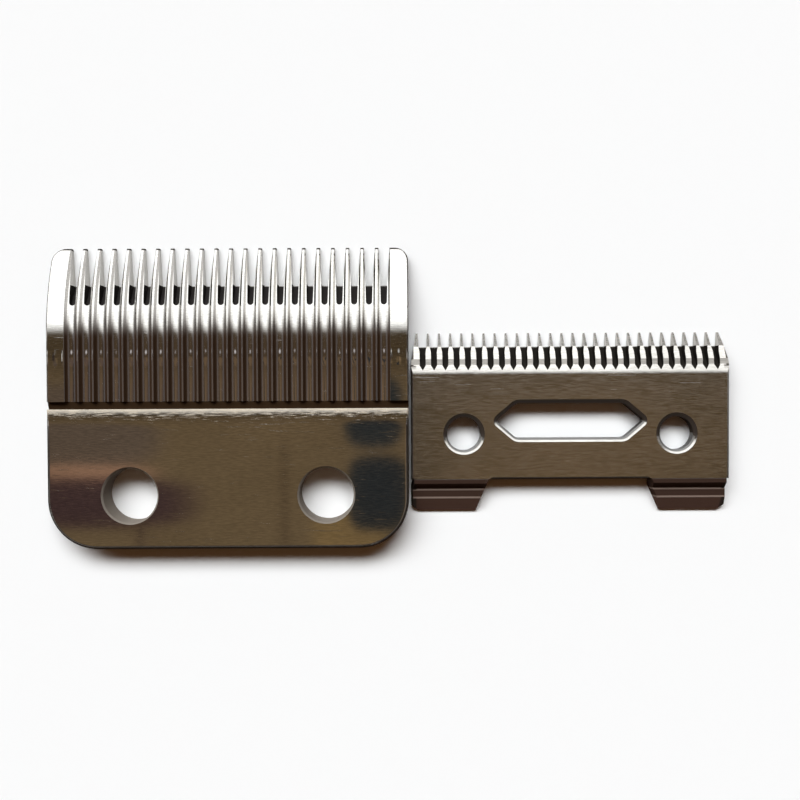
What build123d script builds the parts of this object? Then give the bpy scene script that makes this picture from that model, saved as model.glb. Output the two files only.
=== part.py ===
"""Hair clipper blade set: a fixed comb blade and its cutter, laid flat side by side.

Millimetres, +Z up, teeth towards +Y. The origin is at the middle of the set's
footprint, on the surface that both blades lie on. Both show their outer side,
so each inner, sliding side faces down.
"""

import os
from math import asin, atan2, cos, degrees, hypot, radians, sin

from build123d import *

# Fixed blade: plate
fixed_width = 45.0
fixed_length = 37.8
plate_thickness = 2.8
rear_corner_radius = 6.2
front_corner_radius = 1.7
plate_edge_radius = 0.45

# Fixed blade: screw holes
screw_hole_diameter = 6.8
screw_hole_spacing = 24.4
screw_hole_from_rear = 6.7
screw_hole_chamfer = 0.2

# Fixed blade: crowned comb in front of the plate, behind it a run-out groove
comb_length = 20.35
comb_drop = 0.12
crown_length = 12.2
tip_height = 0.5
run_out_width = 0.95
run_out_depth = 0.3
comb_edge_radius = 0.2

# Fixed blade: the plate's front edge, polished round in two arcs
roll_length = 1.8
roll_drop = 0.05
shoulder_length = 0.85
shoulder_drop = 0.08

# Fixed blade: teeth, tooth slots and the flutes that lead into them
slot_count = 22
edge_to_first_slot = 3.05
tooth_width_at_tip = 0.42
tooth_width_at_root = 0.95
slot_root_from_tip = 4.75
slot_end_from_tip = 7.4
slot_end_width = 0.78
slot_end_depth = 0.45
flute_depth = 0.38
flute_wall_run = 0.24
flute_floor_sag = 0.1
land_width = 0.26

# Fixed blade: shallow relief across the inner face
relief_depth = 0.3
relief_width = 8.0
relief_from_tip = 10.5
relief_corner_radius = 0.25

# Cutter: plate
cutter_width = 40.0
cutter_plate_thickness = 1.2
cutter_plate_rise = 0.75
cutter_rear_from_tip = 18.5
cutter_edge_radius = 0.3

# Cutter: bevelled tooth strip
cutter_tip_height = 0.2
nose_length = 1.74
nose_height = 1.08
bevel_length = 1.62
bevel_height = 1.67
ledge_length = 0.71
ledge_height = 1.71
brow_length = 1.2
strip_length = 4.4
strip_heel_length = 0.8
strip_side_taper = 0.65

# Cutter: teeth, the open gaps between them and the grooves that run on from those
groove_count = 27
edge_to_first_groove = 1.49
cutter_tooth_tip_width = 0.2
gap_root_width = 1.02
gap_flare_length = 0.7
groove_width = 0.76
groove_point_length = 0.65
groove_end_from_tip = 4.8
groove_wheel_radius = 13.5

# Cutter: drive slot and locating holes
drive_slot_length = 18.7
drive_slot_flat = 13.6
drive_slot_width = 4.35
drive_slot_from_tip = 11.13
drive_slot_end_radius = 0.4
drive_slot_corner_radius = 1.2
locating_hole_diameter = 4.2
locating_hole_web = 1.92
locating_hole_from_tip = 12.76
rim_bevel_width = 0.5
rim_bevel_depth = 0.2

# Cutter: joggled rear feet
foot_length = 10.1
foot_end_length = 8.3
foot_thickness = 1.15
foot_end_thickness = 0.3
joggle_start_behind_plate = 0.5
joggle_run = 0.75
crease_depth = 0.12
foot_flat_length = 1.2
foot_bevel_length = 1.65
foot_corner_width = 0.8
foot_corner_length = 0.6
foot_side_lean = 0.36

# Place of the two blades
blade_gap = 0.3
cutter_tip_behind_fixed_tip = 10.9

# How far a cutting shape runs past what it cuts
overrun = 1.0
overrun_angle = 4.0

# Derived places of the two blades
set_width = fixed_width + blade_gap + cutter_width
fixed_x = (fixed_width - set_width) / 2
cutter_x = (set_width - cutter_width) / 2
tip_y = fixed_length / 2
rear_y = -fixed_length / 2
cutter_tip_y = tip_y - cutter_tip_behind_fixed_tip

# Derived comb section: a flat shelf that turns down along one arc to the tips
land_z = plate_thickness - comb_drop
floor_z = land_z - flute_depth
shelf_y = tip_y - crown_length
plate_front_y = tip_y - comb_length
shelf_rear_y = plate_front_y + run_out_width
shoulder_y = plate_front_y - shoulder_length
shoulder_z = plate_thickness - roll_drop - shoulder_drop
roll_y = shoulder_y - roll_length
crown_fall = land_z - tip_height
crown_radius = (crown_length**2 + crown_fall**2) / (2 * crown_fall)
crown_angle = degrees(atan2(crown_length, crown_radius - crown_fall))

# Derived tooth row
tooth_pitch = (fixed_width - 2 * edge_to_first_slot) / (slot_count - 1)
flute_floor_width = tooth_pitch - land_width - 2 * flute_wall_run
slot_root_y = tip_y - slot_root_from_tip
slot_end_y = tip_y - slot_end_from_tip

# Derived cutter section
cutter_top_z = cutter_plate_rise + cutter_plate_thickness
cutter_rear_y = cutter_tip_y - cutter_rear_from_tip
nose_y = cutter_tip_y - nose_length
ledge_y = nose_y - bevel_length
brow_y = ledge_y - ledge_length
strip_y = cutter_tip_y - strip_length
cutter_pitch = (cutter_width - 2 * edge_to_first_groove) / (groove_count - 1)
locating_hole_spacing = drive_slot_length + 2 * locating_hole_web + locating_hole_diameter

# Flute cutting shape on x = 0: a hollow floor and sloped walls, carried along the shelf and the crown
with BuildPart() as flute:
    with BuildLine(Plane.YZ) as flute_path:
        shelf_run = Line((plate_front_y, floor_z), (shelf_y, floor_z))
        floor_radius = crown_radius - flute_depth
        JernArc(shelf_run @ 1, shelf_run % 1, floor_radius, -crown_angle - overrun_angle)
    with BuildSketch(Plane((0, plate_front_y, floor_z), x_dir=(-1, 0, 0), z_dir=(0, 1, 0))):
        flute_top = 1.5 * flute_depth
        floor_half = flute_floor_width / 2
        wall_slope = flute_wall_run / (flute_depth - flute_floor_sag)
        top_half = floor_half + wall_slope * (flute_top - flute_floor_sag)
        with BuildLine():
            flute_sides = Polyline(
                (floor_half, flute_floor_sag),
                (top_half, flute_top),
                (-top_half, flute_top),
                (-floor_half, flute_floor_sag),
            )
            ThreePointArc(flute_sides @ 1, (0, 0), flute_sides @ 0)
        make_face()
    sweep(path=flute_path.line)

# Slot cutting shape on x = 0: open at the tips, with a ramped and rounded root
with BuildPart() as slot:
    with BuildSketch(Plane.XY.offset(-overrun)):
        end_half = slot_end_width / 2
        root_half = (tooth_pitch - tooth_width_at_root) / 2
        tip_half = (tooth_pitch - tooth_width_at_tip) / 2
        front_half = tip_half + (tip_half - root_half) * overrun / slot_root_from_tip
        with BuildLine():
            slot_sides = Polyline(
                (-end_half, slot_end_y + end_half),
                (-root_half, slot_root_y),
                (-front_half, tip_y + overrun),
                (front_half, tip_y + overrun),
                (root_half, slot_root_y),
                (end_half, slot_end_y + end_half),
            )
            ThreePointArc(slot_sides @ 1, (0, slot_end_y), slot_sides @ 0)
        make_face()
    extrude(amount=plate_thickness + 2 * overrun)
    crown_fall_at_end = crown_radius - (crown_radius**2 - (slot_end_y - shelf_y) ** 2) ** 0.5
    ramp_rise = floor_z - crown_fall_at_end - slot_end_depth
    ramp_angle = atan2(ramp_rise, slot_root_y - slot_end_y)
    ramp = Plane(
        (0, slot_root_y, 0), x_dir=(1, 0, 0), z_dir=(0, sin(ramp_angle), cos(ramp_angle))
    )
    split(bisect_by=ramp, keep=Keep.TOP)

with BuildPart() as fixed_blade:
    # Plate with rounded corners and a rolled upper edge
    with BuildSketch():
        with Locations((fixed_x, 0)):
            Rectangle(fixed_width, fixed_length)
        fillet(vertices().group_by(Axis.Y)[0], rear_corner_radius)
        fillet(vertices().group_by(Axis.Y)[-1], front_corner_radius)
    extrude(amount=plate_thickness)
    fillet(faces().sort_by(Axis.Z)[-1].edges(), plate_edge_radius)

    # Crowned comb: what lies above the run-out groove, the shelf and the crown is cut away
    with BuildSketch(Plane.YZ.offset(fixed_x)):
        with BuildLine():
            roll = TangentArc(
                (roll_y, plate_thickness), (shoulder_y, plate_thickness - roll_drop), tangent=(1, 0)
            )
            shoulder = TangentArc(roll @ 1, (plate_front_y, shoulder_z), tangent=roll % 1)
            Polyline(
                shoulder @ 1,
                (plate_front_y, floor_z - run_out_depth),
                (shelf_rear_y, floor_z),
                (shelf_rear_y, land_z),
                (shelf_y, land_z),
            )
            crown = TangentArc((shelf_y, land_z), (tip_y, tip_height), tangent=(1, 0))
            Polyline(
                crown @ 1,
                crown @ 1 + (crown % 1) * overrun,
                (tip_y + 2 * overrun, plate_thickness + overrun),
                (roll_y, plate_thickness + overrun),
                roll @ 0,
            )
        make_face()
    extrude(amount=fixed_width, both=True, mode=Mode.SUBTRACT)
    tip_edge = edges().filter_by(Axis.X).group_by(Axis.Y)[-1].sort_by(Axis.Z)[-1]
    fillet(tip_edge, comb_edge_radius)

    # Relief across the inner face
    with BuildSketch(Plane.YZ.offset(fixed_x)):
        with Locations((tip_y - relief_from_tip - relief_width / 2, 0)):
            RectangleRounded(relief_width, 2 * relief_depth, relief_corner_radius)
    extrude(amount=fixed_width, both=True, mode=Mode.SUBTRACT)

    # Flutes and slots
    with Locations((fixed_x, 0)):
        with GridLocations(tooth_pitch, 0, slot_count, 1):
            add(flute.part, mode=Mode.SUBTRACT)
            add(slot.part, mode=Mode.SUBTRACT)

    # Screw holes
    with Locations((fixed_x, rear_y + screw_hole_from_rear, plate_thickness)):
        with GridLocations(screw_hole_spacing, 0, 2, 1):
            Hole(screw_hole_diameter / 2)
    rims = edges().filter_by(GeomType.CIRCLE)
    rims = rims.filter_by(lambda rim: abs(rim.radius - screw_hole_diameter / 2) < 1e-4)
    chamfer(rims.group_by(Axis.Z)[-1], screw_hole_chamfer)

# Tooth cutting shape on x = 0: seen from above a flared gap that ends in a point, seen from the side
# open down to the nose and then floored by the arc of its grinding wheel
with BuildPart() as groove:
    groove_end_y = cutter_tip_y - groove_end_from_tip
    with BuildSketch(Plane.XY.offset(-overrun)):
        groove_half = groove_width / 2
        gap_root_half = gap_root_width / 2
        gap_tip_half = (cutter_pitch - cutter_tooth_tip_width) / 2
        gap_front_half = gap_tip_half + (gap_tip_half - gap_root_half) * overrun / nose_length
        Polygon(
            (0, groove_end_y),
            (groove_half, groove_end_y + groove_point_length),
            (groove_half, nose_y - gap_flare_length),
            (gap_root_half, nose_y),
            (gap_front_half, cutter_tip_y + overrun),
            (-gap_front_half, cutter_tip_y + overrun),
            (-gap_root_half, nose_y),
            (-groove_half, nose_y - gap_flare_length),
            (-groove_half, groove_end_y + groove_point_length),
            align=None,
        )
    extrude(amount=cutter_top_z + 2 * overrun)
    brow_left = (groove_end_y - (brow_y - brow_length)) / brow_length
    groove_end_z = cutter_top_z - (cutter_top_z - ledge_height) * brow_left**2
    groove_run = nose_y - groove_end_y
    half_turn = degrees(asin(hypot(groove_run, groove_end_z) / (2 * groove_wheel_radius)))
    floor_angle = degrees(atan2(groove_end_z, groove_run)) - half_turn
    floor_way = Vector(-cos(radians(floor_angle)), sin(radians(floor_angle)))
    with BuildSketch(Plane.YZ):
        with BuildLine():
            floor = JernArc((nose_y, 0), floor_way, groove_wheel_radius, -2 * half_turn - overrun_angle)
            Polyline(
                floor @ 1,
                ((floor @ 1).X, cutter_top_z + overrun),
                (cutter_tip_y + overrun, cutter_top_z + overrun),
                (cutter_tip_y + overrun, -overrun),
                (nose_y, -overrun),
                floor @ 0,
            )
        make_face()
    extrude(amount=cutter_pitch, both=True, mode=Mode.INTERSECT)

# Rear feet: a joggled section, cut in plan to a tab that runs into the plate, and its mirror image
with BuildPart() as feet:
    foot_root_y = cutter_rear_y + joggle_run + cutter_edge_radius
    joggle_y = cutter_rear_y - joggle_start_behind_plate
    foot_y = joggle_y - joggle_run
    foot_bevel_y = foot_y - foot_flat_length
    foot_end_y = foot_bevel_y - foot_bevel_length
    with BuildSketch(Plane.YZ.offset(cutter_x)):
        Polygon(
            (foot_root_y, cutter_plate_rise),
            (foot_root_y, cutter_top_z),
            (joggle_y, cutter_top_z),
            (foot_y, foot_thickness - crease_depth),
            (foot_y - crease_depth, foot_thickness),
            (foot_bevel_y, foot_thickness),
            (foot_end_y, foot_end_thickness),
            (foot_end_y, 0),
            (foot_y + joggle_run / 2, 0),
            (joggle_y + joggle_run / 2, cutter_plate_rise),
            align=None,
        )
    extrude(amount=cutter_width, both=True)
    outer_x = cutter_x + cutter_width / 2
    inner_slant = foot_length - foot_end_length
    for height, lean in ((0, 0), (cutter_top_z, foot_side_lean)):
        with BuildSketch(Plane.XY.offset(height)):
            Polygon(
                (outer_x - lean, foot_root_y),
                (outer_x - lean, foot_end_y + foot_corner_length),
                (outer_x - lean - foot_corner_width, foot_end_y),
                (outer_x + lean - foot_end_length, foot_end_y),
                (outer_x + lean - foot_length, cutter_rear_y),
                (outer_x + lean - foot_length - inner_slant, foot_root_y),
                align=None,
            )
    loft(mode=Mode.INTERSECT)
    mirror(about=Plane.YZ.offset(cutter_x))

with BuildPart() as cutter_blade:
    # Plate and tooth strip in one section, still square at the front
    with BuildSketch(Plane.YZ.offset(cutter_x)):
        Polygon(
            (cutter_tip_y, 0),
            (cutter_tip_y, cutter_top_z),
            (cutter_rear_y, cutter_top_z),
            (cutter_rear_y, cutter_plate_rise),
            (strip_y - strip_heel_length, cutter_plate_rise),
            (strip_y, 0),
            align=None,
        )
    extrude(amount=cutter_width / 2, both=True)

    # Drive slot with pointed ends, and a locating hole beside each end
    with BuildSketch():
        with Locations((cutter_x, cutter_tip_y - drive_slot_from_tip)):
            Polygon(
                (-drive_slot_length / 2, 0),
                (-drive_slot_flat / 2, -drive_slot_width / 2),
                (drive_slot_flat / 2, -drive_slot_width / 2),
                (drive_slot_length / 2, 0),
                (drive_slot_flat / 2, drive_slot_width / 2),
                (-drive_slot_flat / 2, drive_slot_width / 2),
                align=None,
            )
        slot_ends = vertices().sort_by(Axis.X)
        fillet([slot_ends[0], slot_ends[-1]], drive_slot_end_radius)
        slot_corners = vertices().sort_by(Axis.Y)
        fillet(slot_corners[:2] + slot_corners[-2:], drive_slot_corner_radius)
        with Locations((cutter_x, cutter_tip_y - locating_hole_from_tip)):
            with GridLocations(locating_hole_spacing, 0, 2, 1):
                Circle(locating_hole_diameter / 2)
    extrude(amount=cutter_top_z, mode=Mode.SUBTRACT)

    # Bevelled rims, and a rolled upper edge along the sides and the rear
    plate_top = faces().sort_by(Axis.Z)[-1]
    for wire in plate_top.inner_wires():
        chamfer(wire.edges(), rim_bevel_width, rim_bevel_depth, reference=plate_top)
    plate_top = faces().sort_by(Axis.Z)[-1]
    fillet(plate_top.outer_wire().edges().sort_by(Axis.Y)[:-1], cutter_edge_radius)

    # Front ground down: a rolled brow, a narrow ledge, the bevel and the nose
    with BuildSketch(Plane.YZ.offset(cutter_x)):
        with BuildLine():
            brow = TangentArc(
                (brow_y - brow_length, cutter_top_z), (brow_y, ledge_height), tangent=(1, 0)
            )
            Polyline(
                brow @ 1,
                (ledge_y, bevel_height),
                (nose_y, nose_height),
                (cutter_tip_y, cutter_tip_height),
                (cutter_tip_y + overrun, cutter_tip_height),
                (cutter_tip_y + overrun, cutter_top_z + overrun),
                (brow_y - brow_length, cutter_top_z + overrun),
                brow @ 0,
            )
        make_face()
    extrude(amount=cutter_width, both=True, mode=Mode.SUBTRACT)

    # Sides of the tooth strip draw in towards the tips
    with BuildSketch():
        half = cutter_width / 2
        with Locations((cutter_x, 0)):
            Polygon(
                (half - strip_side_taper, cutter_tip_y),
                (half, brow_y),
                (half, cutter_tip_y),
                align=None,
            )
        mirror(about=Plane.YZ.offset(cutter_x))
    extrude(amount=cutter_top_z, mode=Mode.SUBTRACT)

    # Tooth grooves
    with Locations((cutter_x, 0)):
        with GridLocations(cutter_pitch, 0, groove_count, 1):
            add(groove.part, mode=Mode.SUBTRACT)

    # Feet
    add(feet.part)

fixed_blade.part.label = "fixed_blade"
cutter_blade.part.label = "cutter_blade"

os.makedirs("parts", exist_ok=True)
export_step(fixed_blade.part, "parts/fixed_blade.step")
export_step(cutter_blade.part, "parts/cutter_blade.step")
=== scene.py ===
"""Looks of the hair clipper blade set: ground and polished steel with painted shade and painted highlights,
dark tooth roots of painted shade, a white table.
"""

from math import radians

import bpy
import numpy as np
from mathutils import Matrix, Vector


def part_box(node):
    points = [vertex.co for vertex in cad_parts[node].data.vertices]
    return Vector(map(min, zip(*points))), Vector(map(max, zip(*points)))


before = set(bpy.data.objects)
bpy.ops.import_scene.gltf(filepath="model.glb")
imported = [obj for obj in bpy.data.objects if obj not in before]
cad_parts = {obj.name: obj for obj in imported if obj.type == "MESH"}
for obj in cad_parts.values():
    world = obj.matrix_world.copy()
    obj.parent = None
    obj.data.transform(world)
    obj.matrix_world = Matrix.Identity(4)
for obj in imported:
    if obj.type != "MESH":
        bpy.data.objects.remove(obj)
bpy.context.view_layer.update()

bl_info = {
    "name": "Clipper blade set finish",
    "version": (1, 0, 0),
    "blender": (4, 5, 0),
    "location": "View3D > Sidebar > Blade Set",
    "description": "Steel finishes and a white table for a two-piece clipper blade set",
    "category": "Material",
}

MM = 0.001

# Widths over which one finish passes into the next
FINE = 0.02 * MM
SHARP = 0.03 * MM
SOFT = 0.1 * MM

# Grain of the noises: features per metre along x, y and z
PATCH_GRAIN = (90.0, 160.0, 160.0)
POLISH_GRAIN = (1100.0, 8500.0, 8500.0)
GRINDING_GRAIN = (900.0, 8500.0, 8500.0)
SCUFF_GRAIN = (700.0, 7000.0, 7000.0)
LIP_GRAIN = (240.0, 900.0, 900.0)
BLEND_GRAIN = (900.0, 300.0, 300.0)
COMB_SCRATCH_GRAIN = (260.0, 5200.0, 5200.0)
CUTTER_SCRATCH_GRAIN = (130.0, 5200.0, 5200.0)
SCRATCH_TURN = 0.05

# Values of a noise at which its mark starts and is complete
WIDE_SPAN = (0.3, 0.7)
NARROW_SPAN = (0.35, 0.65)
SCRATCH_SPAN = (0.70, 0.73)
# Least value of the scuffs' noise that shows, at the plate's front edge and at the scuffs' end
SCUFF_LEAST = (0.37, 0.70)
SCUFF_FADE = 0.20
# Least and most that a noise leaves of tone, roughness, lip and blend ridge
LINE_TONE = (0.84, 1.12)
COMB_LINE_ROUGHNESS = (0.8, 1.2)
CUTTER_LINE_ROUGHNESS = (0.8, 1.25)
LIP_PATCHES = (0.55, 1.0)
BLEND_UNEVEN = (0.7, 1.0)

# Upward part of a face's direction, where it starts to be left dull under painted shade and where it is
# dull all over
COMB_STEEP = (0.96, 0.84)
COMB_ROLLED = (0.998, 0.965)
CUTTER_STEEP = (0.99, 0.93)
# Frontward part of a face's direction, where the cutter's rims turn from dark to bright
RIM_TURN = (0.02, 0.15)

# Places across a flute, from its middle line, nought, to the ridge's, one
WALL_FADE = (0.05, 0.55)
RIDGE_LINE_FADE = (0.88, 0.97)
FLUTE_MIDDLE = (0.45, 0.0)
RIDGE_MIDDLE = (0.85, 1.0)

# Sky in degrees: lean is the angle from the zenith towards the teeth, rise the height over the table.
# Each pair is where a change starts and where it is complete
WINDOW_IN_MIRROR = ((8.0, 15.5), (53.0, 51.5))
WINDOW_ON_TABLE = ((28.0, 43.0), (59.0, 53.0))
DIM_FRONT_LEAN = (0.0, 3.5)
BELOW_WINDOW_LEAN = (49.0, 52.0)
SHADE_LEAN = (-14.0, -22.0)
LOW_REAR_LEAN = (-25.0, -38.0)
LOW_REAR_RISE = (46.0, 33.0)
HORIZON_RISE = (33.0, 26.0)
# Sky to the sides: sideways part of the direction
SHADE_SIDES = (0.52, 0.68)
WINDOW_SIDES = (0.85, 0.60)
WINDOW_NARROWER = 0.15
WINDOW_TO_LEFT = 0.2
# Least upward part of the direction for which the place on the ceiling is worked out
FLATTEST_RISE = 0.05

# Corners of the two blades as packed
COMB_LOW, COMB_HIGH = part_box("fixed_blade")
CUTTER_LOW, CUTTER_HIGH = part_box("cutter_blade")
COMB_X = (COMB_LOW.x + COMB_HIGH.x) / 2
CUTTER_X = (CUTTER_LOW.x + CUTTER_HIGH.x) / 2


class Nodes:
    """Adds nodes to one shader tree. An input is given a socket to link or a constant to hold."""

    def __init__(self, tree):
        self.tree = tree
        tree.nodes.clear()

    def add(self, kind, inputs=None, **settings):
        node = self.tree.nodes.new(kind)
        for name, value in settings.items():
            setattr(node, name, value)
        for name, value in (inputs or {}).items():
            self.put(node.inputs[name], value)
        return node

    def put(self, socket, value):
        if isinstance(value, bpy.types.NodeSocket):
            self.tree.links.new(value, socket)
        else:
            socket.default_value = value

    def math(self, operation, first, second=0.0, third=0.0):
        """One arithmetic step."""
        node = self.add("ShaderNodeMath", operation=operation)
        for socket, value in zip(node.inputs, (first, second, third)):
            self.put(socket, value)
        return node.outputs[0]

    def product(self, *factors):
        """All factors multiplied."""
        total = factors[0]
        for factor in factors[1:]:
            total = self.math("MULTIPLY", total, factor)
        return total

    def largest(self, *values):
        """The largest of all values."""
        most = values[0]
        for value in values[1:]:
            most = self.math("MAXIMUM", most, value)
        return most

    def raised(self, total, *parts):
        """The total with each part's amount added, as far as the part's share goes."""
        for amount, share in parts:
            total = self.math("MULTIPLY_ADD", share, amount, total)
        return total

    def less(self, value):
        """One less the value."""
        return self.math("SUBTRACT", 1.0, value)

    def ramp(self, value, low, high, start=0.0, end=1.0):
        """Smooth step: start up to low, end from high on. low may be the larger, for a falling step."""
        node = self.add("ShaderNodeMapRange", interpolation_type="SMOOTHSTEP")
        for name, number in zip(("Value", "From Min", "From Max", "To Min", "To Max"),
                                (value, low, high, start, end)):
            self.put(node.inputs[name], number)
        return node.outputs["Result"]

    def band(self, value, low, high, soft):
        """One between low and high, fading to nought over the soft width outside them."""
        rise = self.ramp(value, low - soft, low)
        fall = self.ramp(value, high + soft, high)
        return self.product(rise, fall)

    def mix(self, factor, first, second):
        """Colour that goes from first to second with the factor."""
        node = self.add("ShaderNodeMix", data_type="RGBA")
        self.put(node.inputs[0], factor)
        self.put(node.inputs[6], first)
        self.put(node.inputs[7], second)
        return node.outputs[2]

    def stretched_noise(self, vector, scale, detail=2.0, turn=0.0):
        """Noise whose grain is drawn out by a different scale along each axis, in features per metre."""
        mapping = self.add("ShaderNodeMapping", {"Vector": vector, "Scale": scale,
                                                 "Rotation": (0.0, 0.0, turn)})
        noise = self.add("ShaderNodeTexNoise", {"Vector": mapping.outputs[0], "Scale": 1.0,
                                                "Detail": detail, "Roughness": 0.6})
        return noise.outputs["Fac"]

    def blend(self, factor, first, second):
        """Shader that goes from first to second with the factor."""
        node = self.add("ShaderNodeMixShader", {"Fac": factor})
        self.put(node.inputs[1], first.outputs[0])
        self.put(node.inputs[2], second.outputs[0])
        return node

    def show(self, shader, output="ShaderNodeOutputMaterial"):
        """Puts the shader on the surface."""
        self.put(self.add(output).inputs["Surface"], shader.outputs[0])


class CombBladeFinish(bpy.types.PropertyGroup):
    """Sizes and finish of the fixed comb blade."""

    steel: bpy.props.FloatVectorProperty(
        name="Steel", description="Colour of the polished steel", subtype="COLOR",
        default=(0.57, 0.55, 0.52), min=0.0, max=1.0)
    tint: bpy.props.FloatVectorProperty(
        name="Tint", description="Colour of the slightly darker patches", subtype="COLOR",
        default=(0.52, 0.50, 0.47), min=0.0, max=1.0)
    flute_steel: bpy.props.FloatVectorProperty(
        name="Flute steel", description="Colour of the level part of the flutes", subtype="COLOR",
        default=(0.60, 0.54, 0.55), min=0.0, max=1.0)
    # Painted shade: near-black paint in the tooth roots
    root_shade: bpy.props.FloatVectorProperty(
        name="Root black", description="Colour of the unpolished tooth roots", subtype="COLOR",
        default=(0.03, 0.027, 0.026), min=0.0, max=1.0)
    # Painted shade: dark brown paint in the run-out groove
    groove_shade: bpy.props.FloatVectorProperty(
        name="Groove brown", description="Colour of the unpolished run-out groove", subtype="COLOR",
        default=(0.040, 0.023, 0.012), min=0.0, max=1.0)
    # Painted shade: dark brown paint on the sides, the rolled edges and the tooth tips
    side_shade: bpy.props.FloatVectorProperty(
        name="Side brown", description="Colour of the unpolished sides and tips", subtype="COLOR",
        default=(0.035, 0.027, 0.022), min=0.0, max=1.0)
    # Painted shade: dark brown paint on the flute walls
    wall_shade: bpy.props.FloatVectorProperty(
        name="Wall brown", description="Colour of the unpolished flute walls", subtype="COLOR",
        default=(0.036, 0.020, 0.011), min=0.0, max=1.0)
    # Painted shade: dull grey paint on the walls of the screw holes
    bore_shade: bpy.props.FloatVectorProperty(
        name="Bore grey", description="Colour of the unpolished walls of the screw holes", subtype="COLOR",
        default=(0.20, 0.175, 0.15), min=0.0, max=1.0)
    # Painted highlight along the plate's front edge, mixed with the real scuffs behind it
    scuff_and_highlight_tone: bpy.props.FloatVectorProperty(
        name="Edge tone", description="Colour of the scuffed front edge of the plate", subtype="COLOR",
        default=(0.62, 0.535, 0.42), min=0.0, max=1.0)
    roughness: bpy.props.FloatProperty(
        name="Roughness", description="Roughness of the polished plate", subtype="FACTOR",
        default=0.06, min=0.0, max=1.0)
    edge_roughness: bpy.props.FloatProperty(
        name="Edge roughness", description="Added roughness of the scuffed front edge of the plate",
        subtype="FACTOR", default=0.26, min=0.0, max=1.0)
    land_roughness: bpy.props.FloatProperty(
        name="Land roughness", description="Added roughness of the worn ridges between the flutes",
        subtype="FACTOR", default=0.03, min=0.0, max=1.0)
    scratch_roughness: bpy.props.FloatProperty(
        name="Scratch roughness", description="Added roughness of the scratches", subtype="FACTOR",
        default=0.14, min=0.0, max=1.0)
    # Added where shade is painted: in the groove, on the sides and in the roots
    dull_roughness: bpy.props.FloatProperty(
        name="Dull roughness", description="Added roughness where polish passes into dull steel",
        subtype="FACTOR", default=0.45, min=0.0, max=1.0)
    flute_share: bpy.props.FloatProperty(
        name="Flute share", description="Share of the flute steel in the level part of the flutes",
        subtype="FACTOR", default=0.7, min=0.0, max=1.0)
    # Share of the flute walls' painted shade left on the middle line of each ridge
    ridge_line_shade: bpy.props.FloatProperty(
        name="Ridge dull", description="How dull the worn line along each ridge stays", subtype="FACTOR",
        default=0.5, min=0.0, max=1.0)
    scuff_cover: bpy.props.FloatProperty(
        name="Scuff cover", description="How far the scuffs cover the polish", subtype="FACTOR",
        default=0.8, min=0.0, max=1.0)
    grain_depth: bpy.props.FloatProperty(
        name="Grain depth", description="Height of the grinding lines", unit="LENGTH",
        default=0.0004 * MM, min=0.0, max=SOFT)
    scuff_depth: bpy.props.FloatProperty(
        name="Scuff depth", description="Height of the scuffs", unit="LENGTH",
        default=0.0004 * MM, min=0.0, max=SOFT)
    # Painted highlight: the bright line along the plate's front edge
    lip_width: bpy.props.FloatProperty(
        name="Lip width", description="Width of the bright line along the plate's front edge",
        unit="LENGTH", default=0.75 * MM)
    scuff_reach: bpy.props.FloatProperty(
        name="Scuff reach", description="From the plate's front edge to the last scuffs", unit="LENGTH",
        default=3.0 * MM)
    # Painted shade on the rolled edges behind this reach
    rolled_start: bpy.props.FloatProperty(
        name="Rolled start", description="From the plate's front edge to where its rolled edges go dull",
        unit="LENGTH", default=1.5 * MM)
    rolled_fade: bpy.props.FloatProperty(
        name="Rolled fade", description="Length over which the rolled edges go dull", unit="LENGTH",
        default=0.7 * MM)
    comb_length: bpy.props.FloatProperty(
        name="Comb length", description="From the tips to the plate's front edge", unit="LENGTH",
        default=20.35 * MM)
    run_out_width: bpy.props.FloatProperty(
        name="Run-out width", description="Width of the groove behind the comb", unit="LENGTH",
        default=0.95 * MM)
    crown_length: bpy.props.FloatProperty(
        name="Crown length", description="From the tips to where the comb turns down",
        unit="LENGTH", default=12.2 * MM)
    crown_radius: bpy.props.FloatProperty(
        name="Crown radius", description="Radius of the comb's outer curve", unit="LENGTH",
        default=35.23 * MM)
    land_drop: bpy.props.FloatProperty(
        name="Land drop", description="From the plate's top to the ridges", unit="LENGTH",
        default=0.12 * MM)
    flute_depth: bpy.props.FloatProperty(
        name="Flute depth", description="From the ridges to the flute floors", unit="LENGTH",
        default=0.38 * MM)
    shelf_start: bpy.props.FloatProperty(
        name="Shelf start", description="From the tips to where the flutes start on their level colour",
        unit="LENGTH", default=10.0 * MM)
    shelf_full: bpy.props.FloatProperty(
        name="Shelf full", description="From the tips to where the flutes have their level colour",
        unit="LENGTH", default=12.0 * MM)
    blend_line: bpy.props.FloatProperty(
        name="Blend line", description="From the tips to the line where two grinding passes meet",
        unit="LENGTH", default=13.84 * MM)
    blend_reach: bpy.props.FloatProperty(
        name="Blend reach", description="Reach of the low ridge on each side of the blend line",
        unit="LENGTH", default=1.2 * MM)
    blend_height: bpy.props.FloatProperty(
        name="Blend height", description="Height of the low ridge on the blend line", unit="LENGTH",
        default=0.054 * MM)
    # Painted shade on the flute walls starts at the first length and is complete at the second
    wall_start: bpy.props.FloatProperty(
        name="Wall start", description="From the tips to where the flute walls start to be dull",
        unit="LENGTH", default=7.0 * MM)
    wall_full: bpy.props.FloatProperty(
        name="Wall full", description="From the tips to where the flute walls are dull all over",
        unit="LENGTH", default=11.5 * MM)
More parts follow.
